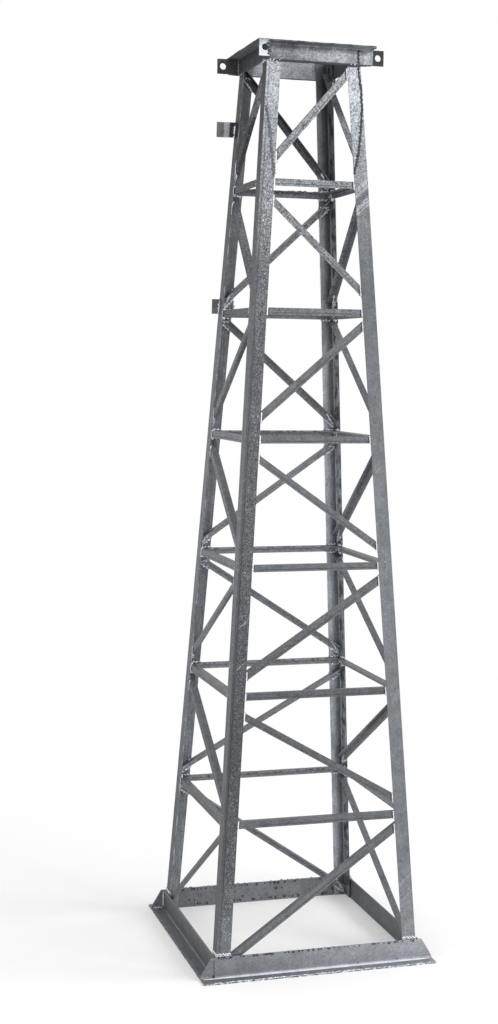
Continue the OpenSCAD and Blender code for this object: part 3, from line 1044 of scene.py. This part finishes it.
def finish_base():
    """A finish for each base bar, lighter or darker by side as painted light and shade; the front
    one is brighter towards the right, as painted light.
    """
    for side, tone, upward, aslant in (
            ("front", 0.29, 0.225, (-0.31, 0.31, 0.8, 1.2)), ("back", 0.225, 0.2, None),
            ("left", 0.12, 0.15, None), ("right", 0.17, 0.15, None)):
        dress("base_" + side, zinc("zinc_base_" + side, tone, upward=upward, grain=0.5, runs=0.0,
                                   aslant=aslant))


def finish_head():
    """Finishes for the head frame, with painted light and shade in their tones: the front and back
    bars are lighter and the side bars darker. The front bar has a ladder of its own over its
    height, with a painted shadow just under its flange, and it is brighter towards the right as
    painted light."""
    # The low stops just under the flange are a painted shadow.
    head_front = [(2.393, 0.19), (2.401, 0.24), (2.41, 0.28), (2.42, 0.3), (2.427, 0.25),
                  (2.4305, 0.12), (2.433, 0.08), (2.4341, 0.08), (2.4345, 0.22)]
    dress("head_front", zinc("zinc_head_front", head_front, 0.1, upward=0.1, cell=0.0045,
                             patch=0.045, grain=1.0, runs=0.0, cloud=0.9,
                             aslant=(-0.1, 0.1, 0.85, 1.2)))
    dress("head_back", zinc("zinc_head_back", 0.33, 0.05, upward=0.08, runs=0.0, grain=0.8,
                            rough=0.75, metal=0.2))
    head_side = zinc("zinc_head_side", 0.13, 0.036, upward=0.08, runs=0.0, cloud=0.5, grain=0.6,
                     rough=0.75, metal=0.2)
    for side in ("left", "right"):
        dress("head_" + side, head_side)


def finish_ears():
    """A bright finish for the ear at the front left, darker at its top, and dull ones for the
    others: lighter and darker copies of one zinc, as painted light and shade.
    """
    dress("ear_front_left", zinc("zinc_ear_bright", [(2.394, 0.75), (2.42, 0.6), (2.437, 0.25)],
                                 0.3, grain=0.6, runs=0.0))
    for node, tone in zip(EARS[1:], (0.022, 0.04, 0.065)):
        dress(node, zinc("zinc_" + node, tone, grain=0.6, runs=0.0))


def finish_lattice():
    """One finish for all rings and braces. Its ladders hold painted light and shade: the tone
    changes with height, faces turned to a side grow dark high up, and faces that look into the
    tower, those on the far side and level ones have tones of their own.
    """
    lattice = zinc("zinc_lattice",
                   [(0, 0.18), (0.2, 0.165), (0.42, 0.135), (0.7, 0.105), (1.08, 0.14),
                    (1.42, 0.143), (1.6, 0.125), (1.75, 0.15), (1.95, 0.2), (2.1, 0.22),
                    (2.4, 0.28)],
                   [(0, 0.12), (0.5, 0.12), (0.9, 0.18), (1.3, 0.19), (1.6, 0.16), (1.7, 0.085),
                    (1.9, 0.06), (2.1, 0.035), (2.25, 0.02), (2.4, 0.015)],
                   inward=[(0, 0.19), (0.7, 0.21), (1.3, 0.24), (1.6, 0.22), (1.9, 0.18),
                           (2.1, 0.1), (2.4, 0.05)],
                   behind=[(0, 0.27), (1.25, 0.25), (1.5, 0.2), (1.9, 0.19), (2.09, 0.15),
                           (2.15, 0.09), (2.3, 0.06)],
                   upward=0.13, grain=0.9, coarse=(1.6, 2.0, 2.1), runs=0.0)
    for node in RINGS + BAYS:
        dress(node, lattice)


def finish_straps():
    """A finish for each strap. The upper one has a painted shadow: it is dark on the leg and a
    little way past its heel, and brighter beyond."""
    for node, shade in zip(STRAPS, ((-0.018, -0.013, 1.0, 0.3), None)):
        dress(node, zinc("zinc_" + node, 0.21, 0.34, grain=1.2, runs=0.0, side=(0.3, 0.5),
                         shade=shade))


def make_pieces():
    """The welds, what the zinc left on the steel, and pieces of painted shade, highlight and
    reflection edges, with the finish of each."""
    # The welds darken on the far side near the top: painted shade.
    weld = zinc("zinc_weld", 0.9, behind=[(2.36, 0.7), (2.395, 0.22)], cell=0.003, grain=0.5,
                runs=0.0, rubs=0.0, rough=0.35)
    # Pure white: on the drops it is partly a painted glint, and on the base's corner line a painted
    # highlight.
    drop = zinc("zinc_drop", 1.0, cell=0.003, grain=0.5, runs=0.0, rubs=0.0, rough=0.3)
    # Dark: for ash and dross, and also for a painted shadow by the front left ear and a painted
    # reflection edge on the front right leg.
    ash = zinc("zinc_ash_and_painted_shade", 0.04, cell=0.003, grain=0.5, runs=0.0, rubs=0.0, rough=0.6, metal=0.1)
    # Used for the fainter painted reflection edge on the front left leg.
    dull = zinc("zinc_dull", 0.13, cell=0.006, grain=0.6, runs=0.0, rubs=0.0, rough=0.6)
    # Painted shade and painted highlight lines for the lattice bars.
    shaded_line = zinc("zinc_painted_shade", [(0, 0.08), (1.6, 0.075), (2.2, 0.13)],
                     behind=[(0, 0.085), (1.5, 0.07), (2.1, 0.025)], runs=0.0, rubs=0.0)
    lit_line = zinc("zinc_painted_highlight", [(0, 0.3), (1.6, 0.3), (2.2, 0.45)], behind=0.24,
                     runs=0.0, rubs=0.0)
    make_welds(weld)
    make_drops_and_highlight(drop)
    make_ash(ash)
    make_bar_lines(shaded_line, lit_line)
    make_reflection_edges(ash, dull)


make_camera()
make_world()
make_lamps()
make_floor()
for finish in (finish_legs, finish_base, finish_head, finish_ears, finish_lattice, finish_straps):
    finish()
make_pieces()

bpy.context.scene.view_settings.view_transform = "Standard"
